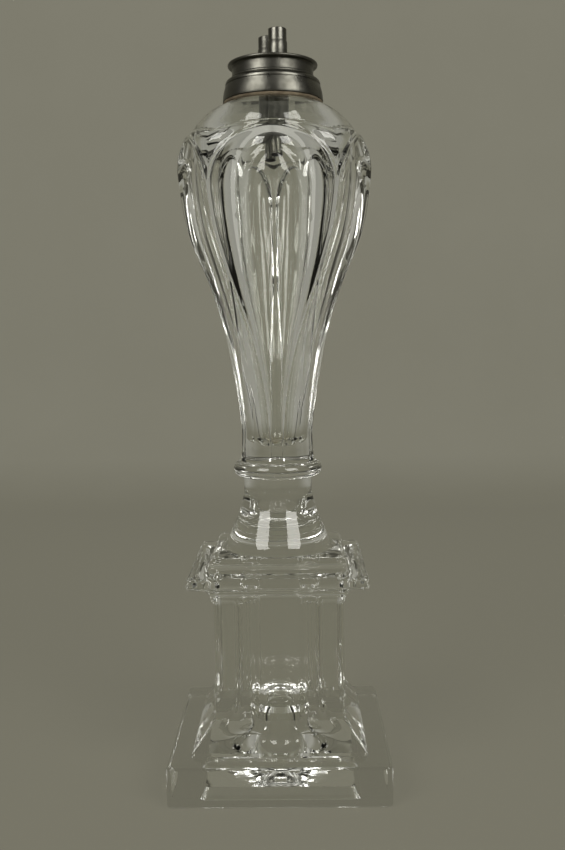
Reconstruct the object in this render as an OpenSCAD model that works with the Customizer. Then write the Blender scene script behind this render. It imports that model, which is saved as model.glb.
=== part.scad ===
// Pressed glass camphene lamp with a pewter burner.
// Units are millimetres. The lamp stands on z = 0 with its middle line on the z axis.
// The front of the lamp faces -y.

/* [Plinth and step] */
// Width of the square plinth
plinth_w = 82; // [76:1:90]
// Height of the plinth
plinth_h = 15.2; // [13:0.2:18]
// Radius of the plinth's upright corners, seen from above
plinth_corner_r = 2.4; // [1:0.2:4]
// Radius along the plinth's top and bottom edges
plinth_edge_r = 1.2; // [0.6:0.1:2]
// Width of the sloping step where it meets the plinth
step_low_w = 64.4; // [58:0.2:68]
// Upright edge at the foot of the step
step_edge_h = 1.6; // [0.8:0.1:3]
// Height from the plinth to the top of the step
step_h = 11; // [8:0.2:14]

/* [Column] */
// Width of the column across its fluted faces
column_w = 49.8; // [45:0.2:54]
// Height of the column between the step and the cap
column_h = 45.6; // [38:0.2:54]
// Depth by which the plain corners stand back from the faces
corner_step = 0.8; // [0.4:0.1:1.4]
// Width of the raised middle of each face
face_w = 31.4; // [28:0.2:34]
// Width of the raised middle where it spreads at the foot
face_foot_w = 43; // [38:0.2:46]
// Height over which the raised middle spreads
face_foot_h = 13; // [8:0.2:18]
// Width of one flute
flute_w = 8; // [6:0.2:9]
// Depth of one flute
flute_d = 2.2; // [1.2:0.1:3]
// Width of the flat between the two flutes of a face
flute_gap = 15.2; // [12:0.2:16]
// Height of the sloping end at the foot of a flute
flute_end_h = 4.6; // [2:0.2:8]

/* [Cap] */
// Width of the square slab on the column
slab_w = 66.6; // [60:0.2:72]
// Thickness of the slab
slab_h = 4.6; // [3:0.2:7]
// Height of the hollow moulding beneath the slab
moulding_h = 5.9; // [4:0.1:8]
// Radius along the edges of the slab
slab_edge_r = 1.3; // [0.6:0.1:2]
// Width of the square block on the slab
block_w = 51; // [47:0.2:56]
// Height of the block
block_h = 5.4; // [4:0.2:8]
// Radius along the top edges of the block
block_edge_r = 2.2; // [1:0.1:3]

/* [Stem] */
// Radius of the stem where it spreads on the block
stem_foot_r = 22.4; // [19:0.2:25]
// Radius of the stem at the top of its spread
stem_low_r = 14.6; // [12.6:0.2:17]
// Height of the spread
stem_foot_h = 15; // [11:0.2:18]
// Radius of the stem at its top
stem_top_r = 13.3; // [11.5:0.1:15]
// Height of the upper stem
stem_top_h = 12.5; // [9:0.5:17]

/* [Hollow beneath] */
// Width of the square opening in the underside
hollow_w = 58; // [50:0.5:64]
// Height of the upright wall of the opening
hollow_wall_h = 4.4; // [3:0.2:6]
// Lean of that wall
hollow_lean = 1.4; // [0.5:0.1:2]
// Height of the domed roof above the wall
hollow_roof_h = 10; // [7:0.2:13]
// Radius of the round shaft at its foot
shaft_low_r = 11.2; // [9.5:0.1:13]
// Radius of the round shaft at its neck
shaft_top_r = 8.4; // [6:0.1:9.5]
// Height of the lower part of the shaft
shaft_low_h = 13; // [9:0.5:17]
// Height of the neck of the shaft
shaft_top_h = 8.6; // [6:0.2:11]

/* [Wafer] */
// Radius of the glass wafer that joins the base and the font
wafer_r = 17.1; // [16:0.1:19]
// Thickness of the wafer
wafer_h = 6.1; // [4:0.1:8]

/* [Font] */
// Radius of the font where it stands on the wafer
font_foot_r = 14.8; // [13.5:0.1:16]
// Height at which the foot of the font starts to open
font_foot_h = 24; // [16:1:30]
// Radius of the font at the middle of its taper
font_waist_r = 19.6; // [18:0.2:21]
// Height of the middle of the taper above the wafer
font_waist_h = 46.5; // [42:0.5:50]
// Radius over the ridges at the widest place
font_r = 38.8; // [36:0.2:41]
// Height of the widest place above the wafer
font_wide_h = 109; // [104:0.5:112]
// Height of the shoulder, where the ridges end
font_shoulder_h = 120.4; // [118:0.2:122]
// Height of the flat at the foot of the neck
font_top_h = 133.7; // [132:0.1:137]
// Radius of that flat
font_top_r = 19.4; // [18.6:0.1:21]
// Radius of the dome under the shoulder
dome_r = 32.6; // [31:0.2:34]
// Share of the ridge radius that the faces between the ridges keep at the widest place
font_face_share = 0.85; // [0.82:0.01:0.92]
// Depth of the scoop in each loop
loop_d = 1.7; // [0.8:0.1:2.4]
// Half of the angle that a loop spans
loop_half_angle = 32.5; // [28:0.5:34]
// Half of the angle that a loop spans at the foot
loop_foot_angle = 12; // [8:1:20]
// Height of a loop's round top
loop_arch_h = 13; // [9:0.5:16]
// Height of a loop's crown above the wafer
loop_crown_h = 119.2; // [117:0.2:121]

/* [Reservoir] */
// Least wall of the font beside the reservoir at its widest place
font_wall = 4.4; // [3.5:0.1:6]
// Wall of the font at its foot
font_foot_wall = 8; // [6.5:0.1:9]
// Glass beneath the reservoir
font_floor = 5.4; // [4:0.2:8]

/* [Neck and collar] */
// Outer radius of the glass neck
neck_r = 16.4; // [15.6:0.1:17]
// Wall of the glass neck
neck_wall = 2.6; // [2:0.1:3]
// Height of the glass neck
neck_h = 6.3; // [5:0.1:7]
// Radius of the collar at its lower edge
collar_low_r = 18.9; // [18.6:0.1:20]
// Radius of the collar below its shoulder
collar_top_r = 17.9; // [17.6:0.1:18.5]
// Radius of the collar's flat top
collar_flat_r = 16.3; // [15.9:0.1:17]
// Height of the collar
collar_h = 8; // [7.6:0.1:9]
// Sheet thickness of the collar
collar_t = 1; // [0.8:0.1:1.2]
// Bore of the collar, which takes the burner
collar_bore_r = 12; // [11.6:0.1:12.4]
// Band of plaster that shows under the collar
cement_band_h = 1.5; // [1:0.1:2]

/* [Burner] */
// Gap all round between the burner's sleeve and the collar's bore
sleeve_gap = 0.3; // [0.3:0.05:0.5]
// Wall of the sleeve
sleeve_t = 1.2; // [0.8:0.1:1.6]
// Depth that the sleeve reaches below the collar's top
sleeve_depth = 13; // [11:0.5:16]
// Thickness of the plate that closes the sleeve
plate_t = 1.2; // [0.8:0.1:2]
// Radius of the burner's rim
rim_r = 16.9; // [16.4:0.1:18]
// Thickness of the rim
rim_t = 1.2; // [0.8:0.1:2]
// Radius of the burner's wall below the rim
wall_r = 15.3; // [14.8:0.1:15.8]
// Height of that wall
wall_h = 4.9; // [4:0.1:6]
// Sheet thickness of that wall
wall_t = 1.1; // [0.8:0.1:1.6]
// Radius of the bead at the foot of the wall
bead_r = 0.6; // [0.4:0.1:0.8]
// Rise of the burner's top inside the rim
crown_h = 1; // [0.4:0.1:1.6]
// Radius of the air hole in the burner's top
vent_r = 0.8; // [0.5:0.1:1.2]

/* [Wick tubes and wicks] */
// Outer radius of a wick tube
tube_r = 3.7; // [3.3:0.1:4]
// Wall of a wick tube
tube_t = 0.6; // [0.4:0.05:0.8]
// Distance from the middle of the burner to the middle of a tube
tube_offset = 5.5; // [5:0.1:6.2]
// Angle by which the pair of tubes is turned from the front
tube_turn = 21; // [0:1:45]
// Height of the tubes above the rim
tube_above = 11.4; // [8:0.2:20]
// Length of the narrower top of a tube
tube_tip_h = 4.8; // [2:0.2:7]
// Step between a tube and its narrower top
tube_tip_step = 0.2; // [0.1:0.05:0.3]
// Length of the tubes below the plate
tube_below = 13.5; // [8:0.5:25]
// Gap all round between a wick and its tube
wick_gap = 0.3; // [0.3:0.05:0.6]
// Distance of a wick's top below the top of its tube
wick_sunk = 4; // [3:0.5:8]
// Distance of a wick's lower end above the foot of its tube
wick_short = 6; // [5:0.5:10]

/* [Hidden] */
$fn = 96;
eps = 0.01;
through = 2;

glass = [0.80, 0.84, 0.78, 0.45];
pewter = [0.33, 0.32, 0.29];
dark_pewter = [0.24, 0.23, 0.21];
plaster = [0.45, 0.40, 0.30];
cotton = [0.80, 0.76, 0.66];

// Heights, from the floor up
step_z = plinth_h + step_edge_h;
column_z = plinth_h + step_h;
moulding_z = column_z + column_h;
slab_z = moulding_z + moulding_h;
block_z = slab_z + slab_h;
stem_z = block_z + block_h;
upper_stem_z = stem_z + stem_foot_h;
wafer_z = upper_stem_z + stem_top_h;
font_z = wafer_z + wafer_h;
neck_z = font_z + font_top_h;
collar_z = neck_z + cement_band_h;
collar_top_z = collar_z + collar_h;
rim_z = collar_top_z + wall_h;
rim_top_z = rim_z + rim_t;
tube_top_z = rim_top_z + tube_above;
plate_z = collar_top_z - sleeve_depth;
tube_low_z = plate_z - tube_below;

// Radii that follow from the fits
sleeve_r = collar_bore_r - sleeve_gap;
collar_sleeve_r = collar_bore_r + collar_t;
neck_bore_r = neck_r - neck_wall;
tube_bore_r = tube_r - tube_t;
wick_r = tube_bore_r - wick_gap;

// Loops of the font
loops = 5;
loop_span = 360 / loops;
half_span = loop_span / 2;
sides_between = 3;
sides_inside = 4;

// An arc of points from one angle to another
function arc(cx, cy, r, from, to, steps) =
    [for (i = [0:steps]) let (a = from + (to - from) * i / steps) [cx + r * cos(a), cy + r * sin(a)]];

// A smooth step from 0 to 1
function ease(t) = let (u = min(max(t, 0), 1)) u * u * (3 - 2 * u);

// A curve through points, given as height and radius, that keeps its slopes smooth
function slope_at(p, i) =
    i == 0 ? (p[1][1] - p[0][1]) / (p[1][0] - p[0][0]) :
    i == len(p) - 1 ? (p[i][1] - p[i - 1][1]) / (p[i][0] - p[i - 1][0]) :
    (p[i + 1][1] - p[i - 1][1]) / (p[i + 1][0] - p[i - 1][0]);

function span_of(p, z, i = 0) = (i >= len(p) - 2 || z <= p[i + 1][0]) ? i : span_of(p, z, i + 1);

function curve(p, z) =
    let (
        i = span_of(p, z),
        w = p[i + 1][0] - p[i][0],
        t = min(max((z - p[i][0]) / w, 0), 1),
        h00 = 2 * t * t * t - 3 * t * t + 1,
        h10 = t * t * t - 2 * t * t + t,
        h01 = -2 * t * t * t + 3 * t * t,
        h11 = t * t * t - t * t
    )
    h00 * p[i][1] + h10 * w * slope_at(p, i) + h01 * p[i + 1][1] + h11 * w * slope_at(p, i + 1);

// A square prism with every edge of its outline rounded by circles
module rounded_square(w, r) {
    square([w, w - 2 * r], center = true);
    square([w - 2 * r, w], center = true);
    for (x = [-1, 1], y = [-1, 1])
        translate([x * (w / 2 - r), y * (w / 2 - r)])
            circle(r);
}

// A solid with the same outline from the front and from the side
module four_sided(size) {
    intersection() {
        rotate([90, 0, 0])
            linear_extrude(size, center = true)
                children();
        rotate([90, 0, 90])
            linear_extrude(size, center = true)
                children();
    }
}

// Both halves of an outline that is given by its right half
module both_sides(points) {
    mirrored = [for (i = [len(points) - 1:-1:0]) [-points[i][0], points[i][1]]];
    polygon(concat(points, mirrored));
}

// Outline of the plinth and its sloping step
module plinth_outline() {
    half = plinth_w / 2;
    r = plinth_edge_r;
    both_sides(concat(
        arc(half - r, r, r, -90, 0, 5),
        arc(half - r, plinth_h - r, r, 0, 90, 5),
        [[step_low_w / 2, plinth_h], [step_low_w / 2, step_z], [column_w / 2, column_z]]));
}

// Outline of the cap: a hollow moulding, a slab and a block
module cap_outline() {
    half = slab_w / 2;
    r = slab_edge_r;
    s = block_edge_r;
    reach = half - r - column_w / 2;
    hollow_curve = [for (i = [0:6]) let (a = 90 * i / 6)
        [column_w / 2 + reach * (1 - cos(a)), moulding_z + moulding_h * sin(a)]];
    both_sides(concat(
        hollow_curve,
        arc(half - r, slab_z + r, r, -90, 0, 4),
        arc(half - r, block_z - r, r, 0, 90, 4),
        [[block_w / 2, block_z]],
        arc(block_w / 2 - s, stem_z - s, s, 0, 90, 5)));
}

// Raised middle of a face, seen from the front, with its spread foot
module face_outline() {
    half = face_w / 2;
    spread = (face_foot_w - face_w) / 2;
    foot = [for (i = [0:7]) let (a = 90 * i / 7)
        [half + spread * (1 - sin(a)), column_z + face_foot_h * (1 - cos(a))]];
    both_sides(concat([[half + spread, column_z - through]], foot, [[half, moulding_z + through]]));
}

// One flute, ready to cut: an upright groove with a sloping end
module flute() {
    groove_r = (flute_w * flute_w / 4 + flute_d * flute_d) / (2 * flute_d);
    top = moulding_z - column_z;
    slope = atan(flute_end_h / flute_d);
    difference() {
        translate([0, -groove_r + flute_d, 0])
            cylinder(r = groove_r, h = top);
        rotate([slope, 0, 0])
            translate([-flute_w, -top, -top])
                cube([2 * flute_w, 3 * top, top]);
    }
}

module column_flutes() {
    across = flute_gap / 2 + flute_w / 2;
    for (turn = [0:90:270], side = [-1, 1])
        rotate([0, 0, turn])
            translate([side * across, -column_w / 2, column_z])
                flute();
}

module column() {
    core_w = column_w - 2 * corner_step;
    difference() {
        union() {
            translate([-core_w / 2, -core_w / 2, column_z - eps])
                cube([core_w, core_w, column_h + 2 * eps]);
            for (turn = [0, 90])
                rotate([90, 0, turn])
                    linear_extrude(column_w, center = true)
                        intersection() {
                            face_outline();
                            translate([-column_w / 2, column_z - eps])
                                square([column_w, column_h + 2 * eps]);
                        }
        }
        column_flutes();
    }
}

// Round stem that spreads on the block, as a turned outline
module stem() {
    rise = stem_foot_h;
    reach = stem_foot_r - stem_low_r;
    spread = [for (i = [0:9]) let (a = 90 * i / 9)
        [stem_foot_r - reach * sin(a), stem_z + rise * (1 - cos(a))]];
    waist_z = upper_stem_z + stem_top_h / 2;
    rotate_extrude()
        polygon(concat([[0, stem_z - through], [stem_foot_r, stem_z - through]], spread,
            [[stem_top_r + 0.6, waist_z - 1], [stem_top_r, waist_z + 1], [stem_top_r, wafer_z],
                [0, wafer_z]]));
}

// Hollow pressed into the underside: a square opening, a domed roof and a round shaft
module underside_hollow() {
    half = hollow_w / 2;
    roof_half = half - hollow_lean;
    four_sided(hollow_w + through)
        both_sides([[half + hollow_lean, -hollow_wall_h], [roof_half, hollow_wall_h]]);
    roof_z = hollow_wall_h;
    shaft_z = roof_z + hollow_roof_h;
    neck_foot_z = shaft_z + shaft_low_h;
    top_z = neck_foot_z + shaft_top_h;
    roof_reach = roof_half - shaft_low_r;
    roof = [for (i = [0:8]) let (a = 90 * i / 8)
        [roof_half - roof_reach * sin(a), roof_z - eps + hollow_roof_h * (1 - cos(a))]];
    tip = [for (i = [0:6]) let (a = 90 * i / 6)
        [shaft_top_r * cos(a), top_z - shaft_top_r / 2 * (1 - sin(a))]];
    rotate_extrude()
        polygon(concat([[0, 0]], [[roof_half, 0]], roof,
            [[shaft_low_r - 0.8, neck_foot_z - 2], [shaft_top_r, neck_foot_z]], tip));
}

module base() {
    color(glass)
        difference() {
            union() {
                intersection() {
                    four_sided(plinth_w)
                        plinth_outline();
                    linear_extrude(column_z)
                        rounded_square(plinth_w, plinth_corner_r);
                }
                column();
                four_sided(slab_w)
                    cap_outline();
                stem();
            }
            underside_hollow();
        }
}

// Flat disc of glass with a rounded rim
module wafer() {
    round_r = wafer_h / 2;
    color(glass)
        translate([0, 0, wafer_z + round_r])
            rotate_extrude()
                union() {
                    translate([0, -round_r])
                        square([wafer_r - round_r, wafer_h]);
                    translate([wafer_r - round_r, 0])
                        circle(round_r);
                }
}

// Radius over the ridges, by height above the wafer
ridge_curve = [
    [0, font_foot_r],
    [font_foot_h / 2, font_foot_r - 0.2],
    [font_foot_h, font_foot_r + 1],
    [font_waist_h, font_waist_r],
    [(2 * font_waist_h + font_wide_h) / 3, font_waist_r + (font_r - font_waist_r) * 0.36],
    [(font_waist_h + 2 * font_wide_h) / 3, font_waist_r + (font_r - font_waist_r) * 0.82],
    [font_wide_h, font_r],
    [font_top_h, font_r - 1]];

// Radius of the dome above the shoulder
dome_curve = [
    [0, dome_r],
    [font_shoulder_h, dome_r],
    [font_shoulder_h + (font_top_h - font_shoulder_h) * 0.40, dome_r - 2.9],
    [font_shoulder_h + (font_top_h - font_shoulder_h) * 0.75, dome_r - 7.6],
    [font_top_h, font_top_r]];

// Share of the ridge radius that the faces keep: flat faces at the top, round at the foot
function face_share(h) = font_face_share
    + (0.985 - font_face_share) * (1 - ease((h - font_foot_h) / (font_wide_h - font_foot_h)));

// Shape of a face across its width, from 0 in the middle to 1 on the ridge
function face_rise(a) = a < 0.88 ? 1.1364 * a * a : 1 - 8.33 * (1 - a) * (1 - a);

// Half angle of a loop below its round top
function loop_angle(h) = loop_foot_angle
    + (loop_half_angle - loop_foot_angle) * ease((h - font_foot_h / 2) / (font_wide_h * 0.68 - font_foot_h / 2));

loop_spring_h = loop_crown_h - loop_arch_h;

// How far a place lies inside its loop, 1 on the loop's outline
function loop_place(angle, h) = let (across = angle / loop_angle(h), up = (h - loop_spring_h) / loop_arch_h)
    h <= loop_spring_h ? across : sqrt(across * across + up * up);

function loop_cut(angle, h) = let (u = loop_place(angle, h))
    u >= 1 ? 0 : loop_d * (1 - pow(u, 4)) * (0.35 + 0.65 * ease(h / loop_spring_h));

// Radius of the font's outside at an angle from the middle of a loop
function font_radius(angle, h) =
    let (
        dome = curve(dome_curve, h),
        ridge = curve(ridge_curve, h),
        face = ridge * face_share(h),
        raised = face + (ridge - face) * face_rise(angle / half_span),
        edge_h = font_shoulder_h + 2.4 * (1 - pow(angle / half_span, 2)),
        t = min(max((edge_h - h) / 5, 0), 1),
        over = max(raised - dome, 0),
        body = h < font_shoulder_h - 14 ? raised : dome + over * sqrt(1 - (1 - t) * (1 - t))
    )
    body - loop_cut(angle, h);

// Angles across half a loop: they follow the loop's outline
function half_angles(h) =
    let (
        up = min(max((h - loop_spring_h) / loop_arch_h, 0), 0.9),
        edge = loop_angle(h) * sqrt(1 - up * up)
    )
    concat([for (i = [0:sides_inside]) edge * (1 - pow(1 - i / sides_inside, 1.6))],
        [for (i = [1:sides_between]) edge + (half_span - edge) * i / sides_between]);

// One ring of the font's outside
function ring(h) =
    let (half = half_angles(h), n = len(half) - 1)
    [for (k = [0:loops - 1], j = [-n:n - 1])
        let (a = j < 0 ? -half[-j] : half[j], r = font_radius(abs(a), h), turn = k * loop_span + a - 90)
        [r * cos(turn), r * sin(turn), font_z + h]];

ring_heights = concat(
    [for (i = [0:14]) i * (font_waist_h + 6) / 14],
    [for (i = [1:17]) font_waist_h + 6 + (loop_spring_h - font_waist_h - 6) * i / 17],
    [for (i = [1:12]) loop_spring_h + (font_shoulder_h + 3 - loop_spring_h) * i / 12],
    [for (i = [1:7]) font_shoulder_h + 3 + (font_top_h - font_shoulder_h - 3) * i / 7]);

// Closed skin over a stack of rings
module skin(rings) {
    n = len(rings[0]);
    m = len(rings);
    points = [for (r = rings, p = r) p];
    walls = [for (i = [0:m - 2], j = [0:n - 1]) let (k = (j + 1) % n)
        each [[i * n + j, (i + 1) * n + j, (i + 1) * n + k], [i * n + j, (i + 1) * n + k, i * n + k]]];
    low = [for (j = [0:n - 1]) j];
    high = [for (j = [n - 1:-1:0]) (m - 1) * n + j];
    polyhedron(points, concat(walls, [low], [high]), convexity = 6);
}

// Radius of the reservoir, by height above the wafer
reservoir_wide_r = font_r * font_face_share - loop_d - font_wall;
reservoir_foot_r = font_foot_r - font_foot_wall;
reservoir_curve = [
    [font_floor + 3, reservoir_foot_r],
    [font_foot_h, reservoir_foot_r + 1.6],
    [font_waist_h, font_waist_r - font_foot_wall + 0.4],
    [(2 * font_waist_h + font_wide_h) / 3, font_waist_r - font_foot_wall + 6.6],
    [(font_waist_h + 2 * font_wide_h) / 3, reservoir_wide_r - 3.2],
    [font_wide_h - 4, reservoir_wide_r],
    [font_shoulder_h - 2, reservoir_wide_r - 1.4],
    [font_shoulder_h + 5, reservoir_wide_r - 6.4],
    [font_top_h - 3.2, neck_bore_r]];

module reservoir() {
    steps = 26;
    first = reservoir_curve[0][0];
    last = font_top_h - 3.2;
    side = [for (i = [0:steps]) let (h = first + (last - first) * i / steps)
        [curve(reservoir_curve, h), font_z + h]];
    rotate_extrude()
        polygon(concat([[0, font_z + font_floor], [reservoir_foot_r * 0.7, font_z + font_floor + 0.6]],
            side, [[neck_bore_r, neck_z + neck_h + through], [0, neck_z + neck_h + through]]));
}

module font() {
    color(glass)
        difference() {
            union() {
                skin([for (h = ring_heights) ring(h)]);
                translate([0, 0, neck_z - 3])
                    cylinder(r = neck_r, h = neck_h + 3);
            }
            reservoir();
        }
}

// Pewter collar: an outer skirt, a flat top and an inner sleeve that takes the burner
module collar() {
    t = collar_t;
    color(pewter)
        rotate_extrude()
            polygon(concat(
                [[collar_bore_r, collar_z], [collar_bore_r, collar_top_z], [collar_flat_r, collar_top_z]],
                [[(collar_flat_r + 2 * collar_top_r) / 3, collar_top_z - 0.5],
                    [collar_top_r, collar_top_z - 1.6], [collar_low_r, collar_z + 0.6],
                    [collar_low_r, collar_z], [collar_low_r - t, collar_z]],
                [[collar_top_r - t, collar_top_z - 1.6 - t], [collar_flat_r - t, collar_top_z - t],
                    [collar_sleeve_r, collar_top_z - t], [collar_sleeve_r, collar_z]]));
}

// Plaster that fills the collar round the glass neck and shows as a band beneath it
module collar_cement() {
    t = collar_t;
    color(plaster)
        rotate_extrude()
            polygon([[neck_r, neck_z], [collar_low_r + 0.2, neck_z], [collar_low_r + 0.1, collar_z],
                [collar_low_r - t, collar_z], [collar_top_r - t, collar_top_z - 1.6 - t],
                [collar_flat_r - t, collar_top_z - t], [collar_sleeve_r, collar_top_z - t],
                [collar_sleeve_r, collar_z], [neck_bore_r, collar_z],
                [neck_bore_r, neck_z + neck_h], [neck_r, neck_z + neck_h]]);
}

// The places of the two wick tubes
module at_tube(side) {
    rotate([0, 0, tube_turn])
        translate([0, side * tube_offset, 0])
            children();
}

module tube_holes() {
    for (side = [-1, 1])
        at_tube(side)
            cylinder(r = tube_r, h = tube_top_z);
}

// Top of the burner: a low crown, a rim and a wall that stands on the collar
module burner_cap() {
    inner = wall_r - wall_t;
    color(pewter)
        difference() {
            rotate_extrude()
                union() {
                    polygon([[0, rim_z], [inner, rim_z], [inner, collar_top_z], [wall_r, collar_top_z],
                        [wall_r, rim_z], [rim_r - rim_t / 2, rim_z], [rim_r - rim_t / 2, rim_top_z],
                        [rim_r - 2, rim_top_z], [rim_r - 3.4, rim_top_z - 0.3],
                        [sleeve_r, rim_top_z + crown_h * 0.5], [sleeve_r * 0.6, rim_top_z + crown_h],
                        [0, rim_top_z + crown_h]]);
                    translate([rim_r - rim_t / 2, rim_z + rim_t / 2])
                        circle(rim_t / 2);
                    translate([wall_r, collar_top_z + bead_r])
                        circle(bead_r);
                }
            tube_holes();
            rotate([0, 0, tube_turn])
                translate([tube_offset + vent_r, 0, rim_z - 1])
                    cylinder(r = vent_r, h = rim_t + crown_h + through);
        }
}

// Sleeve that goes into the collar
module burner_sleeve() {
    color(dark_pewter)
        translate([0, 0, plate_z])
            difference() {
                cylinder(r = sleeve_r, h = rim_z - plate_z);
                translate([0, 0, -1])
                    cylinder(r = sleeve_r - sleeve_t, h = rim_z - plate_z + through);
            }
}

// Plate that closes the sleeve from within and steadies the tubes
module burner_plate() {
    color(dark_pewter)
        difference() {
            translate([0, 0, plate_z])
                cylinder(r = sleeve_r - sleeve_t, h = plate_t);
            tube_holes();
        }
}

// Wick tube with a narrower tip
module wick_tube(side) {
    tip_r = tube_r - tube_tip_step;
    color(pewter)
        at_tube(side)
            rotate_extrude()
                polygon([[tube_bore_r, tube_low_z], [tube_r, tube_low_z],
                    [tube_r, tube_top_z - tube_tip_h], [tip_r, tube_top_z - tube_tip_h + 0.2],
                    [tip_r, tube_top_z], [tube_bore_r, tube_top_z]]);
}

module wick_tube_front() {
    wick_tube(-1);
}

module wick_tube_rear() {
    wick_tube(1);
}

// Cotton wick inside its tube
module wick(side) {
    low = tube_low_z + wick_short;
    color(cotton)
        at_tube(side)
            translate([0, 0, low])
                cylinder(r = wick_r, h = tube_top_z - wick_sunk - low);
}

module wick_front() {
    wick(-1);
}

module wick_rear() {
    wick(1);
}

base();
wafer();
font();
collar();
collar_cement();
burner_cap();
burner_sleeve();
burner_plate();
wick_tube_front();
wick_tube_rear();
wick_front();
wick_rear();
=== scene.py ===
"""Looks of a pressed glass lamp with a pewter burner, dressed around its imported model.

Sizes in the classes are millimetres, as in the part's source. A mesh becomes metres when it is finished.
"""
import logging
import math
from collections.abc import Callable, Sequence
from dataclasses import dataclass, field
from enum import Enum

import bmesh
import bpy
from mathutils import Matrix, Vector, noise


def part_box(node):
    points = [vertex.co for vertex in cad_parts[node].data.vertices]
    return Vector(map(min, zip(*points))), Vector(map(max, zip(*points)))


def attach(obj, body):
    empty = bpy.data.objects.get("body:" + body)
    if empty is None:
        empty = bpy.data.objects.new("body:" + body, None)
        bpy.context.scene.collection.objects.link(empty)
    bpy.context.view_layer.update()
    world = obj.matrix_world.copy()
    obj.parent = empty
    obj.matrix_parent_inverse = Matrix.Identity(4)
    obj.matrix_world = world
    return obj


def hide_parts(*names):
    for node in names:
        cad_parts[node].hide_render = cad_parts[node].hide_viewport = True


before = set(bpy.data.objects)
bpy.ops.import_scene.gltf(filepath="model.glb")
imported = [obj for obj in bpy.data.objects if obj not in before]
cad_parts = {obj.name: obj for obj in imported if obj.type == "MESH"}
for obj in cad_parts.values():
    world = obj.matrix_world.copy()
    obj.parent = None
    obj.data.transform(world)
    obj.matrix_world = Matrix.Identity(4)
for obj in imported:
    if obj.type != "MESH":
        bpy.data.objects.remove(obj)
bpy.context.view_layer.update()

LOG = logging.getLogger("lamp")
MM = 0.001
MERGE = 1e-4

Pair = tuple[float, float]
Colour = tuple[float, float, float]


class Body(Enum):
    """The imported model's bodies, which the pieces ride on."""

    LAMP = "lamp"
    BURNER = "burner"
    FRONT_WICK = "front_wick"
    REAR_WICK = "rear_wick"


class Slot(Enum):
    """The record's material slots."""

    GLASS = "clear_glass"
    PEWTER = "pewter"
    DARK_PEWTER = "dark_pewter"
    PLASTER = "plaster"
    COTTON = "cotton_wick"


def ease(t: float) -> float:
    """A smooth step from 0 to 1."""
    u = min(max(t, 0.0), 1.0)
    return u * u * (3 - 2 * u)


def curve(points: Sequence[Pair], at: float) -> float:
    """Smooth curve through points, as in the part's source.

    Args:
        points: Place and value of each point, in rising places.
        at: The place to read.

    Returns:
        The value there.
    """
    def slope(k: int) -> float:
        """Slope of the curve at one point."""
        low, high = max(k - 1, 0), min(k + 1, len(points) - 1)
        return (points[high][1] - points[low][1]) / (points[high][0] - points[low][0])

    i = 0
    while i < len(points) - 2 and at > points[i + 1][0]:
        i += 1
    width = points[i + 1][0] - points[i][0]
    t = min(max((at - points[i][0]) / width, 0.0), 1.0)
    start = (2 * t**3 - 3 * t**2 + 1) * points[i][1] + (t**3 - 2 * t**2 + t) * width * slope(i)
    end = (3 * t**2 - 2 * t**3) * points[i + 1][1] + (t**3 - t**2) * width * slope(i + 1)
    return start + end


def arc(centre: Pair, radius: float, start: float, end: float, steps: int) -> list[Pair]:
    """Points on an arc.

    Args:
        centre: Middle of the arc.
        radius: Its radius.
        start: Angle of its first point, in degrees.
        end: Angle of its last point, in degrees.
        steps: Number of steps between them.

    Returns:
        The points, both ends included.
    """
    turns = [math.radians(start + (end - start) * i / steps) for i in range(steps + 1)]
    return [(centre[0] + radius * math.cos(a), centre[1] + radius * math.sin(a)) for a in turns]


def levels(node: str) -> Pair:
    """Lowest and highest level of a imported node, in millimetres."""
    low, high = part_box(node)
    return low.z / MM, high.z / MM


def hand_pull(x: float, y: float, z: float, depth: float, wave: float) -> float:
    """How far a surface lies inside its true shape at a place, from 0 to depth, in waves of one length."""
    return depth * (0.5 - 0.5 * noise.noise(Vector((x, y, z)) / wave))


def rolled(rows: int, columns: int, place: Callable[[int, int], Sequence[float]]) -> bmesh.types.BMesh:
    """Rolls a flat grid into a closed skin whose first and last rows are poles or meet each other.

    Args:
        rows: Number of rows.
        columns: Number of columns round the axis.
        place: Gives the point for a row and a column.

    Returns:
        The skin, with its normals outward.
    """
    bm = bmesh.new()
    bmesh.ops.create_grid(bm, x_segments=columns, y_segments=rows - 1, size=1)
    for vert in bm.verts:
        column = round((vert.co.x + 1) / 2 * columns)
        row = round((vert.co.y + 1) / 2 * (rows - 1))
        vert.co = place(row, column % columns)
    bmesh.ops.remove_doubles(bm, verts=bm.verts, dist=MERGE)
    bmesh.ops.recalc_face_normals(bm, faces=bm.faces)
    return bm


def spun(profile: Sequence[Pair], closed: bool = False, steps: int = 144) -> bmesh.types.BMesh:
    """Turns an outline round the z axis.

    Args:
        profile: Radius and level of each point.
        closed: Whether the last point joins the first.
        steps: Number of steps round the axis.

    Returns:
        The turned solid, with its normals outward.
    """
    bm = bmesh.new()
    verts = [bm.verts.new((radius, 0, level)) for radius, level in profile]
    pairs = list(zip(verts, verts[1:])) + ([(verts[-1], verts[0])] if closed else [])
    edges = [bm.edges.new(pair) for pair in pairs]
    bmesh.ops.spin(bm, geom=verts + edges, cent=(0, 0, 0), axis=(0, 0, 1), dvec=(0, 0, 0),
                   angle=math.tau, steps=steps, use_merge=True, use_duplicate=False)
    bmesh.ops.remove_doubles(bm, verts=bm.verts, dist=MERGE)
    bmesh.ops.recalc_face_normals(bm, faces=bm.faces)
    return bm


def mark_fused(bm: bmesh.types.BMesh, level: float, radius: float, index: int = 1) -> None:
    """Gives the disc that is fused to the next glass piece its own material.

    Args:
        bm: Mesh in millimetres.
        level: Level of the disc.
        radius: Radius of the disc.
        index: Material index for it.
    """
    for face in bm.faces:
        centre = face.calc_center_median()
        if abs(centre.z - level) < MERGE and centre.xy.length < radius:
            face.material_index = index


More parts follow.
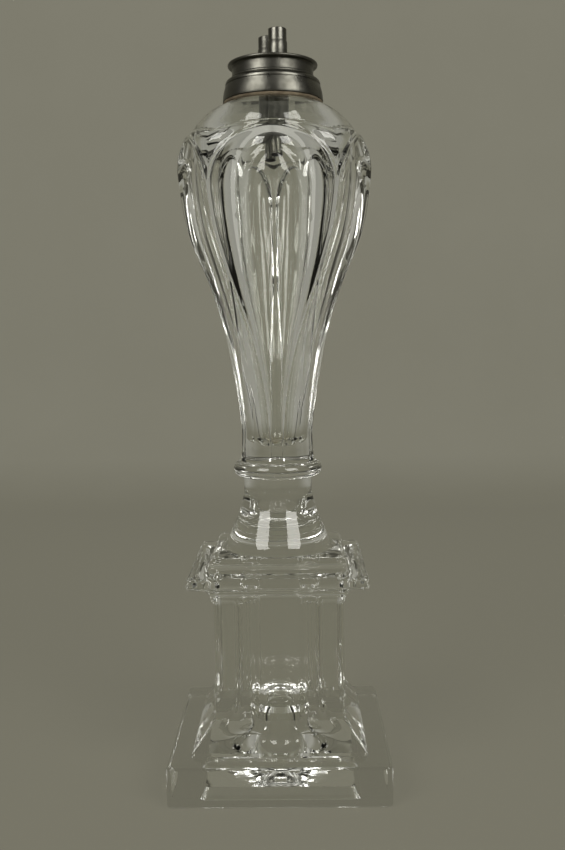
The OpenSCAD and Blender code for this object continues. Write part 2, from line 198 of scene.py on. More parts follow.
@dataclass(frozen=True)
class Role:
    """What a piece stands for and what it rides on."""

    name: str
    node: str
    body: Body
    slot: Slot

    def show(self, bm: bmesh.types.BMesh, dress: Sequence[bpy.types.Material], crease: float = 40.0) -> None:
        """Makes the mesh a piece of the lamp.

        Args:
            bm: Finished mesh in millimetres, which is freed.
            dress: Materials by index.
            crease: Angle past which an edge stays sharp, in degrees.
        """
        bmesh.ops.scale(bm, vec=(MM, MM, MM), verts=bm.verts)
        mesh = bpy.data.meshes.new(self.name)
        bm.to_mesh(mesh)
        bm.free()
        mesh.shade_smooth()
        mesh.set_sharp_from_angle(angle=math.radians(crease))
        for material in dress:
            mesh.materials.append(material)
        piece = bpy.data.objects.new(self.name, mesh)
        bpy.context.scene.collection.objects.link(piece)
        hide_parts(self.node)
        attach(piece, self.body.value)
        LOG.info("%s: %d faces, for %s on %s", self.name, len(mesh.polygons), self.node, self.body.value)


class Tree:
    """A node tree with short calls to add and join nodes."""

    def __init__(self, tree: bpy.types.NodeTree) -> None:
        """Keeps the tree that is built."""
        self.tree = tree

    def add(self, kind: str, values: dict | None = None, **settings) -> bpy.types.Node:
        """Adds a node.

        Args:
            kind: Node type without its Shader prefix.
            values: Input values or source sockets by input name or index.
            **settings: Attributes of the node.

        Returns:
            The node.
        """
        node = self.tree.nodes.new("ShaderNode" + kind)
        for key, value in settings.items():
            setattr(node, key, value)
        for key, value in (values or {}).items():
            if isinstance(value, bpy.types.NodeSocket):
                self.tree.links.new(value, node.inputs[key])
            else:
                node.inputs[key].default_value = value
        return node

    def sum_up(self, operation: str, *values: float | bpy.types.NodeSocket) -> bpy.types.NodeSocket:
        """The result of one Math node."""
        return self.add("Math", dict(enumerate(values)), operation=operation).outputs[0]


def group(name: str, inputs: dict[str, tuple[str, float]], outputs: Sequence[str],
          build: Callable[[Tree, bpy.types.Node], dict[str, bpy.types.NodeSocket]]) -> bpy.types.NodeTree:
    """Makes a shader node group once.

    Args:
        name: Name of the group.
        inputs: Kind and default value of each input, by name.
        outputs: Names of the number outputs.
        build: Fills the tree from its input node and returns the sockets for the outputs.

    Returns:
        The group.
    """
    made = bpy.data.node_groups.get(name)
    if made:
        return made
    made = bpy.data.node_groups.new(name, "ShaderNodeTree")
    for label, (kind, value) in inputs.items():
        socket = made.interface.new_socket(label, in_out="INPUT", socket_type="NodeSocket" + kind)
        if kind == "Float":
            socket.default_value = value
    for label in outputs:
        made.interface.new_socket(label, in_out="OUTPUT", socket_type="NodeSocketFloat")
    tree = Tree(made)
    entry = made.nodes.new("NodeGroupInput")
    leave = made.nodes.new("NodeGroupOutput")
    for label, socket in build(tree, entry).items():
        made.links.new(socket, leave.inputs[label])
    return made


def blotches() -> bpy.types.NodeTree:
    """Group that gives soft patches, from 0 to 1, for tarnish, stains and uneven glass."""
    def build(tree: Tree, entry: bpy.types.Node) -> dict[str, bpy.types.NodeSocket]:
        """Noise that is stretched to the range between two limits."""
        cloud = tree.add("TexNoise", {"Vector": entry.outputs["Vector"], "Scale": entry.outputs["Scale"],
                                      "Detail": 5.0, "Roughness": 0.6})
        mask = tree.add("MapRange", {"Value": cloud.outputs[0], "From Min": entry.outputs["Low"],
                                     "From Max": entry.outputs["High"]}, clamp=True)
        return {"Mask": mask.outputs[0]}

    inputs = {"Vector": ("Vector", 0.0), "Scale": ("Float", 60.0), "Low": ("Float", 0.4), "High": ("Float", 0.6)}
    return group("blotches", inputs, ["Mask"], build)


def turned_marks() -> bpy.types.NodeTree:
    """Group that gives the fine rings that a lathe leaves, round the z axis through an axis place."""
    def build(tree: Tree, entry: bpy.types.Node) -> dict[str, bpy.types.NodeSocket]:
        """Noise that changes quickly with level and radius and slowly round the axis."""
        split = tree.add("SeparateXYZ", {"Vector": entry.outputs["Vector"]})
        x_squared = tree.sum_up("MULTIPLY", split.outputs[0], split.outputs[0])
        y_squared = tree.sum_up("MULTIPLY", split.outputs[1], split.outputs[1])
        radius = tree.sum_up("SQRT", tree.sum_up("ADD", x_squared, y_squared))
        rings = tree.add("CombineXYZ", {"X": radius, "Y": split.outputs[2]})
        fine = tree.add("TexNoise", {"Vector": rings.outputs[0], "Scale": entry.outputs["Scale"], "Detail": 3.0})
        return {"Height": fine.outputs[0]}

    return group("turned_marks", {"Vector": ("Vector", 0.0), "Scale": ("Float", 1500.0)}, ["Height"], build)


@dataclass(frozen=True)
class Finish:
    """A material with Object coordinates to read."""

    name: str

    def start(self) -> tuple[bpy.types.Material, Tree, bpy.types.Node, bpy.types.NodeSocket]:
        """Makes the material.

        Returns:
            The material, its tree, its Principled shader and the Object coordinates.
        """
        material = bpy.data.materials.new(self.name)
        material.use_nodes = True
        tree = Tree(material.node_tree)
        shader = material.node_tree.nodes["Principled BSDF"]
        place = tree.add("TexCoord").outputs["Object"]
        return material, tree, shader, place

    @staticmethod
    def patches(tree: Tree, place: bpy.types.NodeSocket, scale: float, low: float,
                high: float) -> bpy.types.NodeSocket:
        """A mask from the group of soft patches."""
        node = tree.add("Group", node_tree=blotches())
        tree.tree.links.new(place, node.inputs["Vector"])
        for label, value in (("Scale", scale), ("Low", low), ("High", high)):
            node.inputs[label].default_value = value
        return node.outputs["Mask"]

    @staticmethod
    def blend_colours(tree: Tree, mask: bpy.types.NodeSocket, first: Colour,
                      second: Colour) -> bpy.types.NodeSocket:
        """A colour between two, by a mask."""
        mix = tree.add("Mix", {0: mask, 6: (*first, 1), 7: (*second, 1)}, data_type="RGBA")
        return mix.outputs[2]

    @staticmethod
    def bump(tree: Tree, shader: bpy.types.Node, height: bpy.types.NodeSocket, distance: float,
             strength: float = 1.0) -> None:
        """Feeds a height to the shader's normal."""
        node = tree.add("Bump", {"Height": height, "Distance": distance, "Strength": strength})
        tree.tree.links.new(node.outputs[0], shader.inputs["Normal"])


@dataclass(frozen=True)
class Glass(Finish):
    """Pressed flint glass: clear, with a faint tint, a fire-polished skin and slow ripples."""

    clear: Colour = (0.965, 0.972, 0.95)
    smoky: Colour = (0.93, 0.938, 0.905)
    ior: float = 1.54
    ripple: float = 0.00006
    stain: Colour | None = None
    stain_low: float = 0.1264
    stain_high: float = 0.1315
    stain_reach: float = 0.0085

    def make(self) -> bpy.types.Material:
        """The glass, with a stain at the foot of the reservoir if it has a stain colour."""
        material, tree, shader, place = self.start()
        cloud = self.patches(tree, place, 38.0, 0.35, 0.7)
        colour = self.blend_colours(tree, cloud, self.clear, self.smoky)
        if self.stain:
            split = tree.add("SeparateXYZ", {"Vector": place})
            low = tree.add("MapRange", {"Value": split.outputs[2], "From Min": self.stain_high,
                                        "From Max": self.stain_low}, clamp=True)
            flat = tree.add("CombineXYZ", {"X": split.outputs[0], "Y": split.outputs[1]})
            out = tree.add("VectorMath", {0: flat.outputs[0]}, operation="LENGTH").outputs["Value"]
            near = tree.add("MapRange", {"Value": out, "From Min": self.stain_reach,
                                         "From Max": self.stain_reach * 0.8}, clamp=True)
            foot = tree.sum_up("MULTIPLY", low.outputs[0], near.outputs[0])
            dirt = tree.sum_up("MULTIPLY", foot, self.patches(tree, place, 420.0, 0.38, 0.6))
            both = tree.add("Mix", {0: dirt, 6: colour, 7: (*self.stain, 1)}, data_type="RGBA")
            colour = both.outputs[2]
        tree.tree.links.new(colour, shader.inputs["Base Color"])
        skin = self.patches(tree, place, 210.0, 0.5, 0.8)
        rough = tree.add("MapRange", {"Value": skin, "To Min": 0.0, "To Max": 0.035})
        tree.tree.links.new(rough.outputs[0], shader.inputs["Roughness"])
        waves = tree.add("TexNoise", {"Vector": place, "Scale": 130.0, "Detail": 1.0})
        self.bump(tree, shader, waves.outputs[0], self.ripple)
        shader.inputs["Transmission Weight"].default_value = 1.0
        shader.inputs["IOR"].default_value = self.ior
        return material


@dataclass(frozen=True)
class FusedJoint(Finish):
    """The place where two glass pieces are melted into each other, which light crosses unbent."""

    def make(self) -> bpy.types.Material:
        """A surface that isn't seen."""
        material, tree, shader, place = self.start()
        colour = self.blend_colours(tree, self.patches(tree, place, 60.0, 0.4, 0.6), (0.96, 0.97, 0.95), (1, 1, 1))
        tree.tree.links.new(colour, shader.inputs["Base Color"])
        shader.inputs["Alpha"].default_value = 0.0
        return material


@dataclass(frozen=True)
class Pewter(Finish):
    """Old turned pewter: a grey sheen with dull, darker patches and lathe rings."""

    bright: Colour = (0.152, 0.149, 0.13)
    dull: Colour = (0.088, 0.086, 0.073)
    smooth: float = 0.3
    rough: float = 0.45
    rings: float = 1400.0

    def make(self) -> bpy.types.Material:
        """The metal."""
        material, tree, shader, place = self.start()
        large = self.patches(tree, place, 95.0, 0.42, 0.66)
        small = self.patches(tree, place, 620.0, 0.5, 0.68)
        worn = tree.sum_up("MAXIMUM", large, tree.sum_up("MULTIPLY", small, 0.6))
        tree.tree.links.new(self.blend_colours(tree, worn, self.bright, self.dull), shader.inputs["Base Color"])
        rough = tree.add("MapRange", {"Value": worn, "To Min": self.smooth, "To Max": self.rough})
        tree.tree.links.new(rough.outputs[0], shader.inputs["Roughness"])
        marks = tree.add("Group", node_tree=turned_marks())
        tree.tree.links.new(place, marks.inputs["Vector"])
        marks.inputs["Scale"].default_value = self.rings
        pits = tree.sum_up("MULTIPLY", small, -0.8)
        self.bump(tree, shader, tree.sum_up("ADD", marks.outputs["Height"], pits), 0.000015)
        shader.inputs["Metallic"].default_value = 1.0
        return material


@dataclass(frozen=True)
class Plaster(Finish):
    """Old plaster round the neck, browned by oil."""

    pale: Colour = (0.19, 0.155, 0.1)
    brown: Colour = (0.085, 0.064, 0.038)

    def make(self) -> bpy.types.Material:
        """The plaster."""
        material, tree, shader, place = self.start()
        stains = self.patches(tree, place, 150.0, 0.38, 0.62)
        tree.tree.links.new(self.blend_colours(tree, stains, self.pale, self.brown), shader.inputs["Base Color"])
        grit = tree.add("TexNoise", {"Vector": place, "Scale": 2600.0, "Detail": 4.0})
        self.bump(tree, shader, grit.outputs[0], 0.00018)
        shader.inputs["Roughness"].default_value = 0.88
        return material


@dataclass(frozen=True)
class Cotton(Finish):
    """Woven cotton wick, charred at its top."""

    thread: Colour = (0.72, 0.66, 0.52)
    gap: Colour = (0.36, 0.31, 0.22)
    char: Colour = (0.03, 0.026, 0.02)
    char_from: float = 0.274
    char_to: float = 0.2775

    def make(self) -> bpy.types.Material:
        """The cotton."""
        material, tree, shader, place = self.start()
        along = tree.add("TexWave", {"Vector": place, "Scale": 260.0, "Distortion": 1.2}, bands_direction="Z")
        across = tree.add("TexWave", {"Vector": place, "Scale": 230.0, "Distortion": 1.0}, bands_direction="DIAGONAL")
        weave = tree.sum_up("MULTIPLY", along.outputs["Fac"], across.outputs["Fac"])
        colour = self.blend_colours(tree, weave, self.gap, self.thread)
        split = tree.add("SeparateXYZ", {"Vector": place})
        top = tree.add("MapRange", {"Value": split.outputs[2], "From Min": self.char_from,
                                    "From Max": self.char_to}, clamp=True)
        burnt = tree.add("Mix", {0: top.outputs[0], 6: colour, 7: (*self.char, 1)}, data_type="RGBA")
        tree.tree.links.new(burnt.outputs[2], shader.inputs["Base Color"])
        self.bump(tree, shader, weave, 0.0002)
        shader.inputs["Roughness"].default_value = 0.92
        shader.inputs["Sheen Weight"].default_value = 0.3
        return material


@dataclass(frozen=True)
class Backdrop(Finish):
    """Plain studio paper: part of what the eye sees is its own even tone, the rest takes light and shadow. Seen
    through glass, its sides glow brighter: painted light that stands for lit side walls.
    """

    tone: Colour = (0.203, 0.196, 0.151)
    wall_tone: Colour = (0.234, 0.227, 0.179)
    side_glow_tone: Colour = (0.42, 0.415, 0.37)
    side_from: float = 0.25
    side_to: float = 0.7
    bend: float = 0.04
    even: float = 0.7

    def make(self) -> bpy.types.Material:
        """The paper."""
        material, tree, shader, place = self.start()
        level = tree.add("SeparateXYZ", {"Vector": place}).outputs[2]
        up = tree.add("MapRange", {"Value": level, "From Max": self.bend}, clamp=True).outputs[0]
        uneven = tree.sum_up("MULTIPLY", self.patches(tree, place, 9.0, 0.3, 0.7), 0.25)
        colour = self.blend_colours(tree, tree.sum_up("SUBTRACT", up, uneven), self.tone, self.wall_tone)
        tree.tree.links.new(colour, shader.inputs["Base Color"])
        shader.inputs["Roughness"].default_value = 1.0
        shader.inputs["Specular IOR Level"].default_value = 0.0
        path = tree.add("LightPath").outputs
        # Painted light: seen through glass, the paper's sides glow brighter, standing for lit side walls.
        side_glow_share = tree.add("MapRange", {"Value": tree.sum_up("ABSOLUTE", tree.add(
            "SeparateXYZ", {"Vector": place}).outputs[0]), "From Min": self.side_from,
            "From Max": self.side_to}, clamp=True, interpolation_type="SMOOTHSTEP").outputs[0]
        share = tree.sum_up("MULTIPLY", side_glow_share, path["Is Transmission Ray"])
        colour = tree.add("Mix", {0: share, 6: colour, 7: (*self.side_glow_tone, 1)}, data_type="RGBA").outputs[2]
        seen = tree.sum_up("MAXIMUM", path["Is Camera Ray"],
                           tree.sum_up("MAXIMUM", path["Is Glossy Ray"], path["Is Transmission Ray"]))
        glow = tree.add("Emission", {"Color": colour, "Strength": 1.0})
        share = tree.sum_up("MULTIPLY", seen, self.even)
        both = tree.add("MixShader", {0: share, 1: shader.outputs[0], 2: glow.outputs[0]})
        end = next(n for n in material.node_tree.nodes if n.type == "OUTPUT_MATERIAL")
        tree.tree.links.new(both.outputs[0], end.inputs["Surface"])
        return material


@dataclass(frozen=True)
class Ring:
    """One level outline of the base: a square with rounded corners, or a circle where corner equals half."""

    half: float
    corner: float
    level: float
    fluted: bool = False


@dataclass
class PressedBase:
    """Square pressed foot: plinth, sloping step, fluted column, cap, round stem and the hollow beneath."""

    plinth: float = 41.0
    plinth_top: float = 15.2
    plinth_edge: float = 1.2
    plinth_corner: float = 2.4
    step_half: float = 32.2
    step_low: float = 16.8
    column_half: float = 24.9
    column_foot: float = 26.2
    column_top: float = 71.8
    corner_step: float = 0.8
    face_half: float = 15.7
    face_foot_half: float = 21.5
    face_foot_rise: float = 13.0
    flute_half: float = 4.0
    flute_middle: float = 11.6
    flute_depth: float = 2.2
    flute_end: float = 4.6
    slab: float = 33.3
    slab_low: float = 77.7
    slab_top: float = 82.3
    slab_edge: float = 1.3
    block: float = 25.5
    block_top: float = 87.7
    block_edge: float = 2.2
    stem_top: float = 13.3
    stem: tuple[Pair, ...] = ((87.7, 22.4), (89.5, 20.6), (93.0, 18.7), (98.0, 16.6), (103.0, 14.7), (106.5, 13.8),
                              (108.5, 13.3), (115.2, 13.3))
    hollow: float = 29.0
    hollow_roof: float = 27.6
    hollow_wall: float = 4.4
    roof_rise: float = 10.0
    shaft_low: float = 11.2
    shaft_top: float = 8.4
    shaft_neck: float = 27.4
    shaft_end: float = 36.0
    soft: float = 0.55
    face_columns: int = 58
    corner_columns: int = 14
    corner_from: float = 0.93
    role: Role = Role("pressed_base", "base", Body.LAMP, Slot.GLASS)

    def edge(self, half: float, corner: float, level: float, radius: float, start: float,
             end: float, steps: int = 5) -> list[Ring]:
        """Outlines round one rounded edge, whose outer width and corner are given.

        Args:
            half: Half of the outer width.
            corner: Corner radius there.
            level: Level of the middle of the edge's arc.
            radius: Radius of the edge.
            start: First angle of its arc, in degrees.
            end: Last angle, in degrees.
            steps: Number of steps.

        Returns:
            The outlines.
        """
        points = arc((half - radius, level), radius, start, end, steps)
        return [Ring(width, corner - (half - width), height) for width, height in points]

    def rings(self) -> list[Ring]:
        """Outlines from the top of the stem, down the outside and up into the hollow."""
        top = levels("base")[1]
        made = [Ring(0, 0, top), Ring(self.stem_top / 2, self.stem_top / 2, top)]
        for i in range(25):
            level = top + (self.block_top - top) * i / 24
            radius = curve(self.stem, level)
            made.append(Ring(radius, radius, level))
        made += self.edge(self.block, 3.0, self.block_top - self.block_edge, self.block_edge, 90, 0)
        made.append(Ring(self.block, 3.0, self.slab_top + 0.5))
        made += self.edge(self.block + 1, 4.0, self.slab_top + 0.5, 0.5, 180, 270, 3)[1:]
        made += self.edge(self.slab, 2.3, self.slab_top - self.slab_edge, self.slab_edge, 90, 0)
        made += self.edge(self.slab, 2.3, self.slab_low + self.slab_edge, self.slab_edge, 0, -90)
        reach = self.slab - self.slab_edge - self.column_half
        for i in range(1, 9):
            a = math.radians(90 - 90 * i / 8)
            half = self.column_half + reach * (1 - math.cos(a))
            level = self.column_top + (self.slab_low - self.column_top) * math.sin(a)
            made.append(Ring(half, 1.0, level, i == 8))
        core = self.column_half - self.corner_step
        for i in range(1, 36):
            share = i / 35
            made.append(Ring(core, 1.0, self.column_top + (self.column_foot - self.column_top) * share, True))
        for i in range(1, 5):
            half = self.column_half + (self.step_half - self.column_half) * i / 4
            made.append(Ring(half, 1.2, self.column_foot + (self.step_low - self.column_foot) * i / 4))
        made.append(Ring(self.step_half, 1.2, self.plinth_top + 0.4))
        made.append(Ring(self.step_half + 0.4, 1.6, self.plinth_top))
        made += self.edge(self.plinth, self.plinth_corner, self.plinth_top - self.plinth_edge,
                          self.plinth_edge, 90, 0)
        made += [Ring(self.plinth, self.plinth_corner, self.plinth_top * share) for share in (0.7, 0.45, 0.2)]
        made += self.edge(self.plinth, self.plinth_corner, self.plinth_edge, self.plinth_edge, 0, -90)
        made += [Ring(self.hollow + 0.6, 2.0, 0.0), Ring(self.hollow, 1.6, 0.6),
                 Ring(self.hollow_roof, 1.6, self.hollow_wall)]
        for i in range(15):
            a = math.radians(90 * i / 14)
            radius = self.hollow_roof - (self.hollow_roof - self.shaft_low) * math.sin(a)
            made.append(Ring(radius, radius, self.hollow_wall + self.roof_rise * (1 - math.cos(a))))
        shaft_foot = self.hollow_wall + self.roof_rise
        for share in (0.25, 0.5, 0.75, 0.85):
            radius = self.shaft_low - 0.8 * share
            made.append(Ring(radius, radius, shaft_foot + (self.shaft_neck - shaft_foot) * share))
        tip = self.shaft_end - self.shaft_top / 2
        made += [Ring(self.shaft_top, self.shaft_top, level) for level in (self.shaft_neck, tip)]
        for i in range(1, 9):
            a = math.radians(90 * i / 8)
            radius = self.shaft_top * math.cos(a)
            made.append(Ring(radius, radius, tip + self.shaft_top / 2 * math.sin(a)))
        return made

    def relief(self, across: float, level: float) -> float:
        """How far a face of the column stands out from its plain corners.

        Args:
            across: Distance from the middle of the face.
            level: Level of the place.

        Returns:
            The raised face less its flutes.
        """
        x = abs(across)
        up = min((level - self.column_foot) / self.face_foot_rise, 1.0)
        spread = (self.face_foot_half - self.face_half) * (1 - math.sqrt(1 - (1 - up) ** 2))
        raised = self.corner_step * ease((self.face_half + spread - x) / self.soft + 0.5)
        place = (x - self.flute_middle) / self.flute_half
        groove = self.flute_depth * (1 - place * place) if abs(place) < 1 else 0.0
        return raised - groove * ease((level - self.column_foot) / self.flute_end)

    def place(self, ring: Ring, column: int) -> Vector:
        """The point of one outline in one column.

        Args:
            ring: The outline.
            column: Number of the column.

        Returns:
            The point.
        """
        side = self.face_columns + self.corner_columns
        quarter, step = divmod(column + side, 2 * side)
        step -= side
        near = abs(step)
        if near <= self.face_columns:
            lean = self.corner_from * near / self.face_columns
        else:
            lean = self.corner_from + (1 - self.corner_from) * (near - self.face_columns) / self.corner_columns
        flat = ring.half - ring.corner
        x, out = ring.half * lean, ring.half
        if x > flat:
            angle = math.atan(lean)
            both = flat * (math.cos(angle) + math.sin(angle))
            reach = both + math.sqrt(max(both * both - 2 * flat * flat + ring.corner**2, 0.0))
            x, out = reach * math.sin(angle), reach * math.cos(angle)
        elif ring.fluted and ring.half < self.column_half:
            out += self.relief(x, ring.level)
        point = Vector((math.copysign(x, step), -out, ring.level))
        pull = hand_pull(point.x + 70 * quarter, point.y, point.z, 0.1, 11.0)
        point.xy *= 1 - pull / max(ring.half, 5.0)
        return Matrix.Rotation(math.radians(90 * quarter), 3, "Z") @ point

    def build(self, glass: bpy.types.Material, fused: bpy.types.Material) -> None:
        """Makes the base."""
        rings = self.rings()
        columns = 8 * (self.face_columns + self.corner_columns)
        bm = rolled(len(rings), columns, lambda row, column: self.place(rings[row], column))
        mark_fused(bm, rings[0].level, self.stem_top)
        self.role.show(bm, [glass, fused], 34.0)


@dataclass
class Wafer:
    """Flat glass disc with a rounded rim that joins the base and the font."""

    radius: float = 17.1
    low_joint: float = 13.3
    high_joint: float = 14.0
    lip: float = 0.2
    role: Role = Role("joining_wafer", "wafer", Body.LAMP, Slot.GLASS)

    def build(self, glass: bpy.types.Material, fused: bpy.types.Material) -> None:
        """Makes the wafer."""
        low, high = levels("wafer")
        edge = (high - low) / 2
        rim = arc((self.radius - edge, low + edge), edge, -90, 90, 20)
        bm = spun([(0, low), (self.low_joint, low), *rim, (self.high_joint - self.lip, high), (0, high)])
        mark_fused(bm, low, self.low_joint)
        mark_fused(bm, high, self.high_joint)
        self.role.show(bm, [glass, fused])


@dataclass
class LoopedFont:
    """Pressed reservoir with tall round-headed loops between ridges, a dome and a short neck.

    Heights are above the wafer.
    """

    loops: int = 5
    ridge: tuple[Pair, ...] = ((0, 14.8), (12, 14.6), (24, 15.8), (46.5, 19.6), (67.3, 26.5), (88.2, 35.3),
                               (109, 38.8), (133.7, 37.8))
    dome: tuple[Pair, ...] = ((0, 32.6), (120.4, 32.6), (125.7, 29.7), (130.4, 25.0), (133.7, 19.4))
    reservoir: tuple[Pair, ...] = ((8.4, 6.8), (24, 8.4), (46.5, 12.0), (67.3, 16.6), (88.2, 21.0), (105, 23.0),
                                   (118.4, 21.8), (125.4, 18.6), (130.5, 13.8))
    top: float = 133.7
    top_radius: float = 19.4
    foot_joint: float = 14.0
    face_share: float = 0.871
    foot_share: float = 0.985
    share_from: float = 24.0
    share_over: float = 85.0
    ridge_round: float = 1.5
    scoop: float = 2.4
    scoop_power: float = 6.0
    band: float = 0.6
    band_width: float = 0.13
    loop_half: float = 32.8
    loop_foot_half: float = 12.0
    loop_foot: float = 12.0
    loop_full: float = 74.0
    crown: float = 119.2
    arch: float = 20.0
    shoulder: float = 120.4
    shoulder_rise: float = 2.4
    shoulder_round: float = 5.0
    body_top: float = 106.4
    neck: float = 16.4
    bore: float = 13.8
    neck_top: float = 140.0
    lip: float = 0.6
    floor: float = 5.4
    columns: int = 360
    role: Role = Role("looped_font", "font", Body.LAMP, Slot.GLASS)

    def raised(self, angle: float, height: float) -> float:
        """Radius of the faces and ridges before the loops are scooped."""
        ridge = curve(self.ridge, height)
        full = ease((height - self.share_from) / self.share_over)
        share = self.face_share + (self.foot_share - self.face_share) * (1 - full)
        plane = ridge * share / math.cos(math.radians(angle))
        return ridge - self.ridge_round * math.log1p(math.exp((ridge - plane) / self.ridge_round))

    def scooped(self, angle: float, height: float) -> float:
        """Depth of the loop's scoop at a place."""
        spring = self.crown - self.arch
        opened = ease((height - self.loop_foot) / (self.loop_full - self.loop_foot))
        across = angle / (self.loop_foot_half + (self.loop_half - self.loop_foot_half) * opened)
        place = math.hypot(across, max((height - spring) / self.arch, 0.0))
        if place >= 1:
            band = min((place - 1) / self.band_width, 1.0)
            return -self.band * math.sin(math.pi * band) * ease(height / spring)
        return self.scoop * (1 - place**self.scoop_power) * (0.35 + 0.65 * ease(height / spring))

    def radius(self, angle: float, height: float) -> float:
        """Radius of the outside.

        Args:
            angle: Angle from the middle of the nearest loop, in degrees.
            height: Height above the wafer.

        Returns:
            The radius.
        """
        body = self.raised(angle, height)
        if height >= self.body_top:
            dome = curve(self.dome, height)
            half_span = 180 / self.loops
            edge = self.shoulder + self.shoulder_rise * (1 - (angle / half_span) ** 2)
            t = min(max((edge - height) / self.shoulder_round, 0.0), 1.0)
            body = dome + max(body - dome, 0.0) * math.sqrt(1 - (1 - t) ** 2)
        return body - self.scooped(angle, height)

    def path(self) -> list[tuple[float | None, float]]:
        """Radius and height of each row; rows of the looped outside have no radius of their own."""
        outside = [self.body_top * i / 90 for i in range(91)]
        outside += [self.body_top + (self.top - self.body_top) * i / 70 for i in range(1, 71)]
        lip = arc((self.neck - self.lip, self.neck_top - self.lip), self.lip, 0, 90, 4)
        inner_lip = arc((self.bore + self.lip, self.neck_top - self.lip), self.lip, 90, 180, 4)
        low, high = self.reservoir[0][0], self.reservoir[-1][0]
        inside = [high - (high - low) * i / 60 for i in range(61)]
        rows: list[tuple[float | None, float]] = [(0.0, 0.0), (self.foot_joint, 0.0)]
        rows += [(None, height) for height in outside]
        rows += [(self.neck, self.top), *lip, *inner_lip]
        rows += [(curve(self.reservoir, height), height) for height in inside]
        rows += [(self.reservoir[0][1] * 0.7, self.floor + 0.6), (0.0, self.floor)]
        return rows

    def build(self, glass: bpy.types.Material, fused: bpy.types.Material) -> None:
        """Makes the font."""
        foot = levels("font")[0]
        rows = self.path()
        span = 360 / self.loops

        def place(row: int, column: int) -> Vector:
            """The point in one row and column."""
            turn = 360 * column / self.columns
            angle = abs((turn + span / 2) % span - span / 2)
            radius, height = rows[row]
            across = self.radius(angle, height) if radius is None else radius
            around = math.radians(turn - 90)
            x, y = math.cos(around), math.sin(around)
            inside = across * (1 - hand_pull(across * x, across * y, height, 0.12, 13.0) / 20)
            return Vector((inside * x, inside * y, foot + height))

        bm = rolled(len(rows), self.columns, place)
        mark_fused(bm, foot, self.foot_joint)
        self.role.show(bm, [glass, fused], 42.0)


@dataclass
class Collar:
    """Turned pewter ring on the neck, and the plaster that holds it."""

    bore: float = 12.0
    sheet: float = 1.0
    flat: float = 16.3
    shoulder: float = 17.9
    skirt: float = 18.9
    groove: float = 0.22
    neck: float = 16.45
    neck_bore: float = 13.75
    neck_top: float = 261.3
    role: Role = Role("pewter_collar", "collar", Body.LAMP, Slot.PEWTER)
    plaster_role: Role = Role("collar_plaster", "collar_cement", Body.LAMP, Slot.PLASTER)

    def build(self, pewter: bpy.types.Material) -> None:
        """Makes the ring."""
        low, high = levels("collar")
        inner = self.bore + self.sheet
        outside = [(self.bore, low), (self.bore, high - 0.3), (self.bore + 0.3, high), (self.flat, high)]
        outside += arc((self.flat, high - 1.6), 1.6, 80, 10, 6)
        line = high - 1.9
        outside += [(self.shoulder, line + 0.1), (self.shoulder - self.groove, line - 0.1),
                    (self.shoulder - self.groove, line - 0.35), (self.shoulder + 0.05, line - 0.5)]
        flare = [(0.0, self.skirt), (0.5, self.skirt - 0.3), (1.0, self.shoulder + 0.05)]
        outside += [(curve(flare, 1 - i / 9), low + 0.6 + (line - 0.5 - low - 0.6) * (1 - i / 9))
                    for i in range(1, 9)]
        outside += arc((self.skirt - 0.35, low + 0.35), 0.35, 0, -90, 4)
        inside = [(self.skirt - self.sheet, low), (self.shoulder - self.sheet, high - 1.6 - self.sheet),
                  (self.flat - self.sheet, high - self.sheet), (inner, high - self.sheet), (inner, low)]
        self.role.show(spun(outside + inside, closed=True), [pewter], 45.0)

    def build_plaster(self, plaster: bpy.types.Material) -> None:
        """Makes the plaster, rough where it shows under the ring."""
        low, high = levels("collar_cement")
        ring = levels("collar")[0]
        inner = self.bore + self.sheet + 0.05
        fit = self.sheet + 0.05
        band = [(self.neck, low), (17.6, low), (18.7, low + 0.1), (19.1, low + 0.5), (19.05, low + 1.0),
                (18.85, ring - 0.05), (self.skirt - fit, ring)]
        rest = [(self.shoulder - fit, high - 0.65 - fit), (self.flat - fit, high), (inner, high), (inner, ring),
                (self.neck_bore, ring), (self.neck_bore, self.neck_top), (self.neck, self.neck_top)]
        bm = spun(band + rest, closed=True)
        for vert in bm.verts:
            if vert.co.z < ring and vert.co.xy.length > self.neck + 0.5:
                pull = hand_pull(*vert.co, 0.5, 1.7)
                vert.co.xy *= 1 - pull / vert.co.xy.length
        self.plaster_role.show(bm, [plaster], 60.0)


def drilled(bm: bmesh.types.BMesh, holes: Sequence[tuple[float, float, float]], level: float) -> bmesh.types.BMesh:
    """Cuts upright round holes through a solid.

    Args:
        bm: The solid, which is freed.
        holes: Place and radius of each hole.
        level: Level of the middle of the holes.

    Returns:
        The drilled solid.
    """
    depth = 30.0
    made = []
    for number, (x, y, radius) in enumerate(holes):
        drill = bmesh.new()
        bmesh.ops.create_cone(drill, cap_ends=True, segments=72, radius1=radius, radius2=radius, depth=depth,
                              matrix=Matrix.Translation((x, y, level)))
        made.append((f"drill_{number}", drill))
    made.append(("drilled", bm))
    objects = []
    for name, shape in made:
        mesh = bpy.data.meshes.new(name)
        shape.to_mesh(mesh)
        shape.free()
        objects.append(bpy.data.objects.new(name, mesh))
        bpy.context.scene.collection.objects.link(objects[-1])
    solid = objects[-1]
    for drill in objects[:-1]:
        cut = solid.modifiers.new(drill.name, "BOOLEAN")
        cut.object = drill
        cut.operation = "DIFFERENCE"
        cut.solver = "EXACT"
    result = bmesh.new()
    result.from_object(solid, bpy.context.evaluated_depsgraph_get())
    for thing in objects:
        mesh = thing.data
        bpy.data.objects.remove(thing)
        bpy.data.meshes.remove(mesh)
    return result


